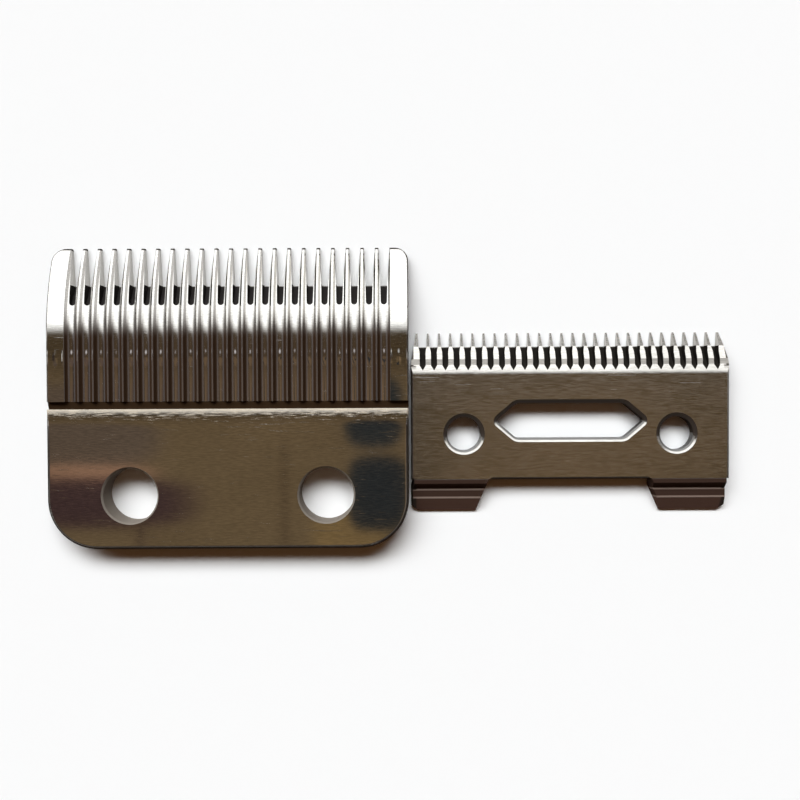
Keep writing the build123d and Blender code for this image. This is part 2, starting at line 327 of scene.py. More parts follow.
    # Painted shade on the tooth tips
    tip_length: bpy.props.FloatProperty(
        name="Tip length", description="Length of the unpolished tooth tips", unit="LENGTH",
        default=0.3 * MM)
    root_overrun: bpy.props.FloatProperty(
        name="Root overrun", description="How far the black may run past the slot's end", unit="LENGTH",
        default=0.3 * MM)
    slot_root: bpy.props.FloatProperty(
        name="Slot root", description="From the tips to where the open slot ends", unit="LENGTH",
        default=4.75 * MM)
    slot_end: bpy.props.FloatProperty(
        name="Slot end", description="From the tips to the end of the ramped slot root",
        unit="LENGTH", default=7.4 * MM)
    tooth_row: bpy.props.FloatProperty(
        name="Tooth row", description="Half the width over the slots", unit="LENGTH",
        default=20.2 * MM)
    tooth_pitch: bpy.props.FloatProperty(
        name="Tooth pitch", description="From one tooth to the next", unit="LENGTH",
        default=1.8524 * MM)
    hole_spacing: bpy.props.FloatProperty(
        name="Hole spacing", description="From one screw hole to the other", unit="LENGTH",
        default=24.4 * MM)
    hole_from_rear: bpy.props.FloatProperty(
        name="Hole from rear", description="From the plate's rear to the screw holes", unit="LENGTH",
        default=6.7 * MM)
    hole_diameter: bpy.props.FloatProperty(
        name="Hole diameter", description="Diameter of the screw holes", unit="LENGTH",
        default=6.8 * MM)
    hole_rim: bpy.props.FloatProperty(
        name="Hole rim", description="Width of the rim of the screw holes", unit="LENGTH",
        default=0.4 * MM)


class CutterFinish(bpy.types.PropertyGroup):
    """Sizes and finish of the cutter."""

    steel: bpy.props.FloatVectorProperty(
        name="Steel", description="Colour of the ground steel", subtype="COLOR",
        default=(0.455, 0.43, 0.40), min=0.0, max=1.0)
    tint: bpy.props.FloatVectorProperty(
        name="Tint", description="Colour of the slightly darker patches", subtype="COLOR",
        default=(0.405, 0.385, 0.355), min=0.0, max=1.0)
    # Painted shade: near-black paint in the tooth grooves
    root_shade: bpy.props.FloatVectorProperty(
        name="Root black", description="Colour of the unpolished groove walls", subtype="COLOR",
        default=(0.016, 0.014, 0.012), min=0.0, max=1.0)
    # Painted shade: dark brown paint on the sides, the rear edge and the rims that don't face the front
    side_shade: bpy.props.FloatVectorProperty(
        name="Side brown", description="Colour of the unground sides", subtype="COLOR",
        default=(0.035, 0.027, 0.022), min=0.0, max=1.0)
    # Painted shade on the lower half of the rims that face the front
    rim_shade: bpy.props.FloatVectorProperty(
        name="Rim grey", description="Colour of the rough lower half of the rims", subtype="COLOR",
        default=(0.13, 0.125, 0.12), min=0.0, max=1.0)
    # Painted shade: dark brown paint on the feet
    foot_shade: bpy.props.FloatVectorProperty(
        name="Foot brown", description="Colour of the unground feet", subtype="COLOR",
        default=(0.040, 0.023, 0.017), min=0.0, max=1.0)
    # Painted shade on the end bevel of the feet, paler than on the rest
    foot_bevel_shade: bpy.props.FloatVectorProperty(
        name="Foot bevel brown", description="Colour of the bevel at the end of the feet", subtype="COLOR",
        default=(0.085, 0.048, 0.036), min=0.0, max=1.0)
    # Painted highlight along the crease of the feet and the edge of their bevel
    foot_edge_highlight: bpy.props.FloatVectorProperty(
        name="Worn brown", description="Colour of the worn edges of the feet", subtype="COLOR",
        default=(0.19, 0.14, 0.115), min=0.0, max=1.0)
    roughness: bpy.props.FloatProperty(
        name="Roughness", description="Roughness of the ground plate", subtype="FACTOR",
        default=0.17, min=0.0, max=1.0)
    scratch_roughness: bpy.props.FloatProperty(
        name="Scratch roughness", description="Added roughness of the scratches", subtype="FACTOR",
        default=0.12, min=0.0, max=1.0)
    ledge_roughness: bpy.props.FloatProperty(
        name="Ledge roughness", description="Added roughness of the narrow ledge", subtype="FACTOR",
        default=0.18, min=0.0, max=1.0)
    rim_roughness: bpy.props.FloatProperty(
        name="Rim roughness", description="Added roughness of the lower half of the rims",
        subtype="FACTOR", default=0.30, min=0.0, max=1.0)
    grain_depth: bpy.props.FloatProperty(
        name="Grain depth", description="Height of the grinding lines", unit="LENGTH",
        default=0.0012 * MM, min=0.0, max=SOFT)
    tip_height: bpy.props.FloatProperty(
        name="Tip height", description="Height of the tooth tips", unit="LENGTH",
        default=0.2 * MM)
    nose_length: bpy.props.FloatProperty(
        name="Nose length", description="From the tips to the end of the first bevel",
        unit="LENGTH", default=1.74 * MM)
    nose_height: bpy.props.FloatProperty(
        name="Nose height", description="Height at the end of the first bevel", unit="LENGTH",
        default=1.08 * MM)
    bevel_length: bpy.props.FloatProperty(
        name="Bevel length", description="Length of the second bevel", unit="LENGTH",
        default=1.62 * MM)
    bevel_height: bpy.props.FloatProperty(
        name="Bevel height", description="Height at the end of the second bevel", unit="LENGTH",
        default=1.67 * MM)
    ledge_length: bpy.props.FloatProperty(
        name="Ledge length", description="Length of the narrow ledge behind the second bevel",
        unit="LENGTH", default=0.71 * MM)
    ledge_height: bpy.props.FloatProperty(
        name="Ledge height", description="Height at the rear of the ledge", unit="LENGTH",
        default=1.71 * MM)
    brow_length: bpy.props.FloatProperty(
        name="Brow length", description="Length of the rolled edge between the ledge and the plate",
        unit="LENGTH", default=1.2 * MM)
    plate_length: bpy.props.FloatProperty(
        name="Plate length", description="From the tips to the plate's rear edge", unit="LENGTH",
        default=18.5 * MM)
    groove_end: bpy.props.FloatProperty(
        name="Groove end", description="From the tips to the end of the grooves", unit="LENGTH",
        default=4.8 * MM)
    groove_overrun: bpy.props.FloatProperty(
        name="Groove overrun", description="How far the black may run past the grooves' end",
        unit="LENGTH", default=0.2 * MM)
    scratch_reach: bpy.props.FloatProperty(
        name="Scratch reach", description="From the brow to the last scratches", unit="LENGTH",
        default=5.0 * MM)
    # Reaches of the painted shade on the sides and on the rear edge
    side_width: bpy.props.FloatProperty(
        name="Side width", description="Reach of the unground sides beside the plate", unit="LENGTH",
        default=0.8 * MM)
    rear_width: bpy.props.FloatProperty(
        name="Rear width", description="Reach of the unground rear edge", unit="LENGTH",
        default=0.5 * MM)
    rear_margin: bpy.props.FloatProperty(
        name="Rear margin", description="From the plate's rear edge to where openings may start",
        unit="LENGTH", default=1.0 * MM)
    front_margin: bpy.props.FloatProperty(
        name="Front margin", description="From the brow to where openings may start", unit="LENGTH",
        default=2.0 * MM)
    rim_middle: bpy.props.FloatProperty(
        name="Rim middle", description="From the plate's top to half-way down the rims", unit="LENGTH",
        default=0.1 * MM)
    # Width of the painted highlights on the feet
    foot_highlight_width: bpy.props.FloatProperty(
        name="Worn width", description="Width of the worn lines on the feet", unit="LENGTH",
        default=0.16 * MM)
    tooth_row: bpy.props.FloatProperty(
        name="Tooth row", description="Half the width over the grooves", unit="LENGTH",
        default=19.4 * MM)
    joggle_length: bpy.props.FloatProperty(
        name="Joggle length", description="From the plate's rear edge to the crease of the feet",
        unit="LENGTH", default=1.25 * MM)
    foot_flat_length: bpy.props.FloatProperty(
        name="Foot flat length", description="From the crease of the feet to their bevel",
        unit="LENGTH", default=1.2 * MM)


class StageSettings(bpy.types.PropertyGroup):
    """Table, backdrop, light and camera."""

    table: bpy.props.FloatVectorProperty(
        name="Table", description="Colour of the table", subtype="COLOR",
        default=(0.92, 0.92, 0.92), min=0.0, max=1.0)
    table_reach: bpy.props.FloatProperty(
        name="Table reach", description="From the middle of the table to its edges", unit="LENGTH",
        default=3.0)
    table_drop: bpy.props.FloatProperty(
        name="Table drop", description="From the blades down to the table", unit="LENGTH",
        default=0.02 * MM)
    backdrop_distance: bpy.props.FloatProperty(
        name="Backdrop distance", description="Distance of the white backdrop all round",
        unit="LENGTH", default=1.5)
    backdrop_height: bpy.props.FloatProperty(
        name="Backdrop height", description="Height of the white backdrop", unit="LENGTH",
        default=0.73)
    window: bpy.props.FloatProperty(
        name="Window", description="Strength of the low part of the window on the table", default=12.5,
        min=0.0, max=40.0)
    window_glare: bpy.props.FloatProperty(
        name="Window glare", description="Strength of the window as polished steel mirrors it",
        default=2.4, min=0.0, max=20.0)
    window_tone: bpy.props.FloatVectorProperty(
        name="Window tone", description="Colour of the window's light", subtype="COLOR",
        default=(0.95, 0.982, 1.0), min=0.0, max=1.0)
    room: bpy.props.FloatVectorProperty(
        name="Room", description="Dim warm light that reaches the shadows", subtype="COLOR",
        default=(0.070, 0.034, 0.014), min=0.0, max=1.0)
    ceiling: bpy.props.FloatVectorProperty(
        name="Ceiling", description="Dim warm light from above", subtype="COLOR",
        default=(0.195, 0.137, 0.075), min=0.0, max=1.0)
    dim_front: bpy.props.FloatProperty(
        name="Dim front", description="Share of the ceiling's light between zenith and window",
        subtype="FACTOR", default=0.5, min=0.0, max=1.0)
    below_window: bpy.props.FloatVectorProperty(
        name="Below window", description="Light from the wall below the window", subtype="COLOR",
        default=(0.13, 0.125, 0.12), min=0.0, max=1.0)
    shade: bpy.props.FloatVectorProperty(
        name="Shade", description="Dark of the room at the sides and the rear", subtype="COLOR",
        default=(0.060, 0.046, 0.038), min=0.0, max=1.0)
    horizon: bpy.props.FloatVectorProperty(
        name="Horizon", description="Light just above the backdrop and low at the rear", subtype="COLOR",
        default=(0.60, 0.59, 0.58), min=0.0, max=1.0)
    camera_place: bpy.props.FloatVectorProperty(
        name="Camera place", description="Where the camera stands", subtype="TRANSLATION",
        unit="LENGTH", default=(1.05 * MM, 0.84 * MM, 85.0 * MM))
    camera_turn: bpy.props.FloatVectorProperty(
        name="Camera turn", description="Turn of the camera from straight down", subtype="EULER",
        default=(-0.0156, -0.0027, -0.0046))
    camera_lens: bpy.props.FloatProperty(
        name="Camera lens", description="Focal length on a 36 mm sensor", unit="CAMERA",
        default=29.83, min=1.0)


class BladeSet(bpy.types.PropertyGroup):
    """All settings of the set."""

    comb: bpy.props.PointerProperty(type=CombBladeFinish)
    cutter: bpy.props.PointerProperty(type=CutterFinish)
    stage: bpy.props.PointerProperty(type=StageSettings)


def colour(values):
    """A colour property with full alpha."""
    return (*values, 1.0)


def new_material(name):
    """Makes an empty material. Gives it and its nodes."""
    material = bpy.data.materials.new(name)
    material.use_nodes = True
    return material, Nodes(material.node_tree)


def place(nodes, coordinates="Object"):
    """The point that is shaded, or the direction in the sky, and its x, y and z."""
    point = nodes.add("ShaderNodeTexCoord").outputs[coordinates]
    return point, nodes.add("ShaderNodeSeparateXYZ", {"Vector": point}).outputs


def scaled(nodes, vector, factor):
    """A colour or vector times a factor."""
    node = nodes.add("ShaderNodeVectorMath", operation="SCALE")
    nodes.put(node.inputs[0], vector)
    nodes.put(node.inputs["Scale"], factor)
    return node.outputs[0]


def steel_surface(nodes, point, finish, grain):
    """Steel colour with slow patches and drawn-out grinding lines. Gives the colour and the line noise."""
    patches = nodes.stretched_noise(point, PATCH_GRAIN, detail=3.0)
    lines = nodes.stretched_noise(point, grain, detail=4.0)
    base = nodes.mix(nodes.ramp(patches, *NARROW_SPAN), colour(finish.steel), colour(finish.tint))
    return scaled(nodes, base, nodes.ramp(lines, *WIDE_SPAN, *LINE_TONE)), lines


def facing(nodes, axis):
    """Part of the face's own direction along an axis: for Z, one on a level top, nought on a side."""
    normal = nodes.add("ShaderNodeNewGeometry").outputs["True Normal"]
    return nodes.add("ShaderNodeSeparateXYZ", {"Vector": normal}).outputs[axis]


def scratches(nodes, point, grain):
    """Sparse short scratches: only the highest stretches of a drawn-out noise."""
    noise = nodes.stretched_noise(point, grain, detail=1.0, turn=SCRATCH_TURN)
    return nodes.ramp(noise, *SCRATCH_SPAN)


def finish_steel(nodes, base, roughness, dull, height):
    """Closes a steel material: metal, except where it is dull, that is where shade is painted, with the
    height in metres as bump.

    The metal fades with the third power of dull, after the colour, so a half-dull rim doesn't turn pale.
    """
    metal = nodes.less(nodes.math("POWER", dull, 3.0))
    bump = nodes.add("ShaderNodeBump", {"Strength": 1.0, "Distance": 1.0, "Height": height})
    nodes.show(nodes.add("ShaderNodeBsdfPrincipled", {
        "Base Color": base, "Metallic": metal, "Roughness": roughness,
        "Specular IOR Level": 0.0, "Normal": bump.outputs[0]}))


def ridge_height(nodes, y, finish):
    """Height of the comb's ridges: the shelf's, less the squared way past it over twice the radius."""
    past_shelf = nodes.math("SUBTRACT", y, COMB_HIGH.y - finish.crown_length)
    past_shelf = nodes.math("MAXIMUM", past_shelf, 0.0)
    fall = nodes.math("DIVIDE", nodes.math("POWER", past_shelf, 2.0), 2 * finish.crown_radius)
    return nodes.math("SUBTRACT", COMB_HIGH.z - finish.land_drop, fall)


def across_flute(nodes, x, finish):
    """Nought on the middle line of a flute, one on the middle line of a ridge."""
    offset = nodes.math("SUBTRACT", x, COMB_X)
    share = nodes.math("FRACT", nodes.math("DIVIDE", offset, finish.tooth_pitch))
    return nodes.math("MULTIPLY", nodes.math("ABSOLUTE", nodes.math("SUBTRACT", share, 0.5)), 2.0)


def in_screw_hole(nodes, from_middle, y, finish):
    """One in the screw holes and on their rims, by the distance from the nearer hole's axis."""
    hole_x = nodes.math("SUBTRACT", from_middle, finish.hole_spacing / 2)
    hole_y = nodes.math("SUBTRACT", y, COMB_LOW.y + finish.hole_from_rear)
    square = nodes.math("MULTIPLY_ADD", hole_x, hole_x, nodes.math("MULTIPLY", hole_y, hole_y))
    rim = finish.hole_diameter / 2 + finish.hole_rim
    return nodes.ramp(nodes.math("SQRT", square), rim + SOFT, rim - SOFT)


def scuffs_and_lip_highlight(nodes, point, behind_lip, finish):
    """Painted highlight: a bright patchy line along the plate's front edge; and real scuffs that thin out
    behind it.
    """
    patches = nodes.stretched_noise(point, LIP_GRAIN, detail=2.0)
    lip_highlight = nodes.product(nodes.ramp(behind_lip, finish.lip_width, SOFT / 2),
                        nodes.ramp(patches, *WIDE_SPAN, *LIP_PATCHES))
    scuffs = nodes.stretched_noise(point, SCUFF_GRAIN, detail=3.0)
    least = nodes.ramp(behind_lip, 0.0, finish.scuff_reach, *SCUFF_LEAST)
    past_least = nodes.math("SUBTRACT", scuffs, least)
    scuffed = nodes.ramp(past_least, 0.0, SCUFF_FADE, 0.0, finish.scuff_cover)
    return nodes.product(nodes.ramp(behind_lip, -FINE, FINE), nodes.largest(lip_highlight, scuffed))


def blend_ridge(nodes, point, y, across, finish):
    """Low uneven ridge where two grinding passes meet, on the middle lines of flutes and ridges."""
    line_y = COMB_HIGH.y - finish.blend_line
    on_middles = nodes.math("ADD", nodes.ramp(across, *FLUTE_MIDDLE), nodes.ramp(across, *RIDGE_MIDDLE))
    uneven = nodes.stretched_noise(point, BLEND_GRAIN, detail=1.0)
    return nodes.product(nodes.band(y, line_y, line_y, finish.blend_reach), on_middles,
                         nodes.ramp(uneven, *NARROW_SPAN, *BLEND_UNEVEN))


def comb_steel(finish):
    """Polished steel of the comb blade: scuffed front edge with a painted highlight, worn ridges, painted
    shade in the brown groove, on the black roots, the flute walls and the sides.
    """
    material, nodes = new_material("comb_steel_polished")
    point, (x, y, z) = place(nodes)
    base, lines = steel_surface(nodes, point, finish, POLISH_GRAIN)

    # Places on the blade
    tip_y = COMB_HIGH.y
    plate_front = tip_y - finish.comb_length
    land_z = COMB_HIGH.z - finish.land_drop
    from_middle = nodes.math("ABSOLUTE", nodes.math("SUBTRACT", x, COMB_X))
    in_row = nodes.ramp(from_middle, finish.tooth_row + SOFT / 2, finish.tooth_row)
    on_comb = nodes.ramp(y, plate_front, plate_front + SOFT)
    across = across_flute(nodes, x, finish)
    below_ridge = nodes.math("SUBTRACT", ridge_height(nodes, y, finish), z)
    behind_lip = nodes.math("SUBTRACT", plate_front, y)
    above_table = nodes.ramp(z, FINE, FINE + SHARP)

    # Level part of the flutes
    on_shelf = nodes.ramp(y, tip_y - finish.shelf_start, tip_y - finish.shelf_full)
    level = nodes.product(in_row, on_comb, on_shelf, finish.flute_share)
    base = nodes.mix(level, base, colour(finish.flute_steel))

    # Painted shade in the tooth roots: black below the flute floors, between the slot's end and the open
    # slot
    root_rear = tip_y - finish.slot_end - finish.root_overrun
    floor = finish.flute_depth + SHARP
    black = nodes.product(nodes.band(y, root_rear, tip_y - finish.slot_root, SHARP),
                          nodes.ramp(below_ridge, floor, floor + 2 * FINE), above_table, in_row)
    base = nodes.mix(black, base, colour(finish.root_shade))

    # Painted shade on the steep sides and on the rolled edges, paler inside the screw holes, and on the
    # tooth tips
    up = facing(nodes, "Z")
    past_lip = nodes.ramp(behind_lip, finish.rolled_start, finish.rolled_start + finish.rolled_fade)
    rolled = nodes.product(nodes.ramp(up, *COMB_ROLLED), past_lip)
    steep = nodes.largest(nodes.ramp(up, *COMB_STEEP), rolled)
    off_row = nodes.less(nodes.product(in_row, nodes.ramp(y, plate_front, plate_front + MM)))
    at_tip = nodes.ramp(y, tip_y - finish.tip_length, tip_y - finish.tip_length / 2)
    side = nodes.largest(nodes.product(steep, off_row), at_tip)
    in_hole = in_screw_hole(nodes, from_middle, y, finish)
    side_shade_tone = nodes.mix(in_hole, colour(finish.side_shade), colour(finish.bore_shade))
    base = nodes.mix(side, base, side_shade_tone)

    # Painted shade on the flute walls and ridges, left partly off along the middle line of each ridge
    wall = nodes.product(
        nodes.ramp(across, *WALL_FADE), nodes.ramp(across, *RIDGE_LINE_FADE, 1.0, finish.ridge_line_shade), in_row,
        nodes.ramp(y, tip_y - finish.wall_start, tip_y - finish.wall_full), on_comb)
    base = nodes.mix(wall, base, colour(finish.wall_shade))

    # Painted shade in the run-out groove behind the comb
    in_groove = nodes.product(nodes.band(y, plate_front, plate_front + finish.run_out_width, FINE),
                              nodes.ramp(z, land_z, land_z - SOFT), above_table)
    base = nodes.mix(in_groove, base, colour(finish.groove_shade))

    # Painted highlight along the plate's front edge and real scuffs behind it; roughness: scuffed towards
    # the plate's front edge, worn on the ridges, lightly scratched
    edge = scuffs_and_lip_highlight(nodes, point, behind_lip, finish)
    base = nodes.mix(edge, base, colour(finish.scuff_and_highlight_tone))
    on_ridge = nodes.product(nodes.ramp(below_ridge, FINE + SHARP, FINE), on_comb, in_row)
    rough = nodes.raised(
        nodes.ramp(lines, *WIDE_SPAN, *(finish.roughness * share for share in COMB_LINE_ROUGHNESS)),
        (finish.edge_roughness, edge),
        (finish.land_roughness, on_ridge),
        (finish.scratch_roughness, scratches(nodes, point, COMB_SCRATCH_GRAIN)),
        (finish.dull_roughness, nodes.largest(in_groove, side, black)))

    # Height: grinding lines, scuffs on the front edge, and the low ridge where two passes meet
    height = nodes.raised(
        nodes.math("MULTIPLY", lines, finish.grain_depth),
        (finish.scuff_depth, edge),
        (finish.blend_height, blend_ridge(nodes, point, y, across, finish)))
    finish_steel(nodes, base, rough, nodes.largest(side, in_groove, black, wall), height)
    return material


def cutter_height(nodes, y, corners, finish):
    """Outer height of the cutter: the lowest plane between two corners, or the brow where that is higher.

    The brow falls from the plate's top with the square of the way past the plate.
    """
    outer_z = CUTTER_HIGH.z
    for (front_y, front_z), (rear_y, rear_z) in zip(corners, corners[1:]):
        slope = (rear_z - front_z) / (rear_y - front_y)
        plane = nodes.math("MULTIPLY_ADD", y, slope, front_z - slope * front_y)
        outer_z = nodes.math("MINIMUM", plane, outer_z)
    brow_y, brow_z = corners[-1]
    past_plate = nodes.math("SUBTRACT", y, brow_y - finish.brow_length)
    past_plate = nodes.math("MAXIMUM", past_plate, 0.0)
    bend = (CUTTER_HIGH.z - brow_z) / finish.brow_length**2
    rolled_z = nodes.math("MULTIPLY_ADD", nodes.math("POWER", past_plate, 2.0), -bend, CUTTER_HIGH.z)
    return nodes.math("MAXIMUM", outer_z, rolled_z)


def foot_shade_and_highlights(nodes, y, plate_rear, finish):
    """Painted shade on the feet, paler on the end bevel, and painted highlights along the crease and along
    the bevel's edge.
    """
    crease_y = plate_rear - finish.joggle_length
    bevel_y = crease_y - finish.foot_flat_length
    on_bevel = nodes.ramp(y, bevel_y, bevel_y - 2 * SOFT)
    tone = nodes.mix(on_bevel, colour(finish.foot_shade), colour(finish.foot_bevel_shade))
    # Painted highlights along the crease and along the bevel's edge
    worn = nodes.largest(nodes.band(y, crease_y - FINE - finish.foot_highlight_width, crease_y - FINE, 3 * FINE),
                         nodes.band(y, bevel_y - FINE, bevel_y + finish.foot_highlight_width, 4 * FINE))
    return nodes.mix(worn, tone, colour(finish.foot_edge_highlight))


def cutter_steel(finish):
    """Ground steel of the cutter, with painted shade in the black tooth grooves, on the brown feet, the
    sides and the rims, and painted highlights on the feet.
    """
    material, nodes = new_material("cutter_steel_ground")
    point, (x, y, z) = place(nodes)
    base, lines = steel_surface(nodes, point, finish, GRINDING_GRAIN)

    # Places on the cutter
    tip_y = CUTTER_HIGH.y
    nose_y = tip_y - finish.nose_length
    ledge_y = nose_y - finish.bevel_length
    brow_y = ledge_y - finish.ledge_length
    plate_rear = tip_y - finish.plate_length
    from_middle = nodes.math("ABSOLUTE", nodes.math("SUBTRACT", x, CUTTER_X))
    from_side = nodes.math("SUBTRACT", CUTTER_HIGH.x - CUTTER_X, from_middle)
    corners = (
        (tip_y, finish.tip_height),
        (nose_y, finish.nose_height),
        (ledge_y, finish.bevel_height),
        (brow_y, finish.ledge_height),
    )
    below_outer = nodes.math("SUBTRACT", cutter_height(nodes, y, corners, finish), z)

    # Painted shade in the grooves: black below the outer surface, behind the open gaps between the teeth
    groove_rear = tip_y - finish.groove_end - finish.groove_overrun
    black = nodes.product(
        nodes.band(y, groove_rear, nose_y, SHARP), nodes.ramp(below_outer, SHARP, SHARP + 2 * FINE),
        nodes.ramp(z, FINE, FINE + SHARP),
        nodes.ramp(from_middle, finish.tooth_row + SOFT / 2, finish.tooth_row))
    base = nodes.mix(black, base, colour(finish.root_shade))

    # Painted shade on the feet behind the plate, with painted highlights on them
    on_foot = nodes.ramp(y, plate_rear + 1.5 * SOFT, plate_rear - 0.5 * SOFT)
    base = nodes.mix(on_foot, base, foot_shade_and_highlights(nodes, y, plate_rear, finish))

    # Painted shade on the sides, narrower beside the teeth, on the rear edge, and on the rims that don't
    # face the front
    narrow = finish.side_width / 2
    wide_or_narrow = nodes.largest(
        nodes.ramp(y, brow_y, brow_y - 2 * SOFT), nodes.ramp(from_side, narrow, narrow - SOFT))
    at_side = nodes.product(
        nodes.ramp(from_side, finish.side_width, finish.side_width - 3 * SOFT), wide_or_narrow)
    rear_y = plate_rear + finish.rear_width
    at_rear = nodes.product(
        nodes.ramp(y, rear_y + SOFT, rear_y - SOFT), nodes.ramp(y, plate_rear - SOFT, plate_rear))
    in_opening = nodes.band(y, plate_rear + finish.rear_margin, brow_y - finish.front_margin, SOFT)
    to_front = nodes.ramp(facing(nodes, "Y"), *RIM_TURN)
    shaded_rim = nodes.product(in_opening, nodes.less(to_front))
    steep = nodes.ramp(facing(nodes, "Z"), *CUTTER_STEEP)
    side = nodes.product(steep, nodes.largest(at_side, at_rear, shaded_rim))
    base = nodes.mix(side, base, colour(finish.side_shade))

    # Painted shade on the lower half of the rims that face the front; roughness: ledge and those rims, a
    # few scratches behind the brow
    rim_z = CUTTER_HIGH.z - finish.rim_middle
    low_rim = nodes.product(nodes.ramp(z, rim_z + FINE, rim_z - FINE), in_opening, to_front)
    base = nodes.mix(low_rim, base, colour(finish.rim_shade))
    scratched = nodes.product(
        scratches(nodes, point, CUTTER_SCRATCH_GRAIN),
        nodes.ramp(y, brow_y - finish.scratch_reach, brow_y - finish.scratch_reach / 2))
    rough = nodes.raised(
        nodes.ramp(lines, *WIDE_SPAN, *(finish.roughness * share for share in CUTTER_LINE_ROUGHNESS)),
        (finish.scratch_roughness, scratched),
        (finish.ledge_roughness, nodes.band(y, brow_y, ledge_y, SOFT / 2)),
        (finish.rim_roughness, low_rim))
    height = nodes.math("MULTIPLY", lines, finish.grain_depth)
    finish_steel(nodes, base, rough, nodes.largest(side, black, on_foot), height)
    return material


def give_material(node_name, material):
    """Puts one material in every slot of a packed blade."""
    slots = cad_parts[node_name].material_slots
    if not slots:
        raise RuntimeError(f"{node_name} has no material slot")
    for slot in slots:
        slot.material = material


def grid_mesh(name, points):
    """Mesh over a rows by columns grid of points, one quad between each four neighbours."""
    rows, columns = points.shape[:2]
    index = np.arange(rows * columns).reshape(rows, columns)
    quads = np.stack([index[:-1, :-1], index[:-1, 1:], index[1:, 1:], index[1:, :-1]], -1)
    mesh = bpy.data.meshes.new(name)
    mesh.from_pydata(points.reshape(-1, 3).tolist(), [], quads.reshape(-1, 4).tolist())
    mesh.update()
    piece = bpy.data.objects.new(name, mesh)
    bpy.context.scene.collection.objects.link(piece)
    return piece


def flat_grid(low, high, height):
    """Level rectangle: x and y are those of the low and the high corner, z is the height."""
    x, y = np.meshgrid((low[0], high[0]), (low[1], high[1]))
    return np.stack([x, y, np.full_like(x, height)], -1)


def make_table(settings):
    """White table just under the blades."""
    reach = settings.table_reach
    table = grid_mesh("table", flat_grid((-reach, -reach), (reach, reach), -settings.table_drop))
    material, nodes = new_material("white_table")
    nodes.show(nodes.add("ShaderNodeBsdfPrincipled", {
        "Base Color": colour(settings.table), "Roughness": 0.9, "Specular IOR Level": 0.0}))
    table.data.materials.append(material)


def ring_wall(radius, height, steps=96):
    """Upright wall all round: the angle runs once round a circle of the radius, z runs up to the height."""
    angle, z = np.meshgrid(np.linspace(0.0, 2 * np.pi, steps), np.linspace(0.0, height, 2))
    return np.stack([radius * np.cos(angle), radius * np.sin(angle), z], -1)


def make_backdrop(settings):
    """Low wall round the table, white as it is looked at and mirrored. It neither lights nor shades."""
    wall = grid_mesh("backdrop", ring_wall(settings.backdrop_distance, settings.backdrop_height))
    material, nodes = new_material("white_backdrop")
    path = nodes.add("ShaderNodeLightPath").outputs
    seen = nodes.largest(path["Is Camera Ray"], path["Is Glossy Ray"], path["Is Transmission Ray"])
    paint = nodes.add("ShaderNodeBsdfDiffuse", {"Color": colour(settings.table)})
    white = nodes.add("ShaderNodeEmission", {"Color": (1.0, 1.0, 1.0, 1.0), "Strength": 1.0})
    nodes.show(nodes.blend(seen, paint, white))
    wall.data.materials.append(material)
    wall.visible_diffuse = False
    wall.visible_shadow = False


# Soft shapes on the dim ceiling, as the polished steel mirrors them: name, reach across and along on a
# level one metre up, softness as a share of the reach, and colour
CEILING_SHAPES = (
    ("left patch", (-0.75, -0.36), (-0.12, 0.01), 0.5, (0.150, 0.110, 0.080)),
    ("warm patch", (-0.13, -0.02), (-0.29, -0.18), 0.8, (0.27, 0.180, 0.080)),
    ("warm strip", (-0.80, -0.375), (-0.137, -0.112), 0.7, (0.46, 0.262, 0.165)),
    ("dark patch", (-0.85, -0.31), (-0.208, -0.130), 0.6, (0.075, 0.044, 0.043)),
    ("left bar", (-0.396, -0.384), (-0.30, -0.16), 0.9, (0.11, 0.073, 0.048)),
    ("right bar", (-0.179, -0.167), (-0.30, -0.07), 0.9, (0.135, 0.092, 0.052)),
    ("front grey", (-0.082, 0.006), (-0.087, 0.020), 0.3, (0.036, 0.041, 0.043)),
    ("rear grey", (-0.078, 0.016), (-0.214, -0.100), 0.25, (0.031, 0.036, 0.039)),
    ("right patch", (0.10, 0.42), (-0.22, 0.04), 0.8, (0.275, 0.190, 0.107)),
)


def oval(nodes, across, along, width, length, soft):
    """One inside a rounded patch, whose rim is where the fourth powers of the two shares add up to one."""
    total = 0.0
    for spot, (low, high) in ((across, width), (along, length)):
        offset = nodes.math("SUBTRACT", spot, (low + high) / 2)
        power = nodes.math("POWER", nodes.math("DIVIDE", offset, (high - low) / 2), 4.0)
        total = nodes.math("ADD", power, total)
    return nodes.ramp(total, 1.0 + soft, 1.0 - soft)


def rise_ramp(nodes, z, rises):
    """Smooth step over the height in the sky, whose z is the sine of the rise in degrees."""
    low, high = (float(np.sin(radians(rise))) for rise in rises)
    return nodes.ramp(z, low, high)


def room_light(nodes, x, y, z, lean, settings):
    """Dim warm ceiling with its soft shapes, dark at the sides and the rear, and a light horizon."""
    rise = nodes.math("MAXIMUM", z, FLATTEST_RISE)
    across = nodes.math("DIVIDE", x, rise)
    along = nodes.math("DIVIDE", y, rise)
    tone = colour(settings.ceiling)
    for _, width, length, soft, shape_colour in CEILING_SHAPES:
        tone = nodes.mix(oval(nodes, across, along, width, length, soft), tone, colour(shape_colour))
    dim_front = [settings.dim_front * level for level in settings.ceiling]
    to_sides = nodes.ramp(nodes.math("ABSOLUTE", x), *SHADE_SIDES)
    low_rear = nodes.product(rise_ramp(nodes, z, LOW_REAR_RISE), nodes.ramp(lean, *LOW_REAR_LEAN))
    low_sky = nodes.largest(rise_ramp(nodes, z, HORIZON_RISE), low_rear)
    for share, light in (
        (nodes.ramp(lean, *DIM_FRONT_LEAN), dim_front),
        (nodes.ramp(lean, *SHADE_LEAN), settings.shade),
        (to_sides, settings.shade),
        (nodes.ramp(lean, *BELOW_WINDOW_LEAN), settings.below_window),
        (low_sky, settings.horizon),
    ):
        tone = nodes.mix(share, tone, colour(light))
    return tone


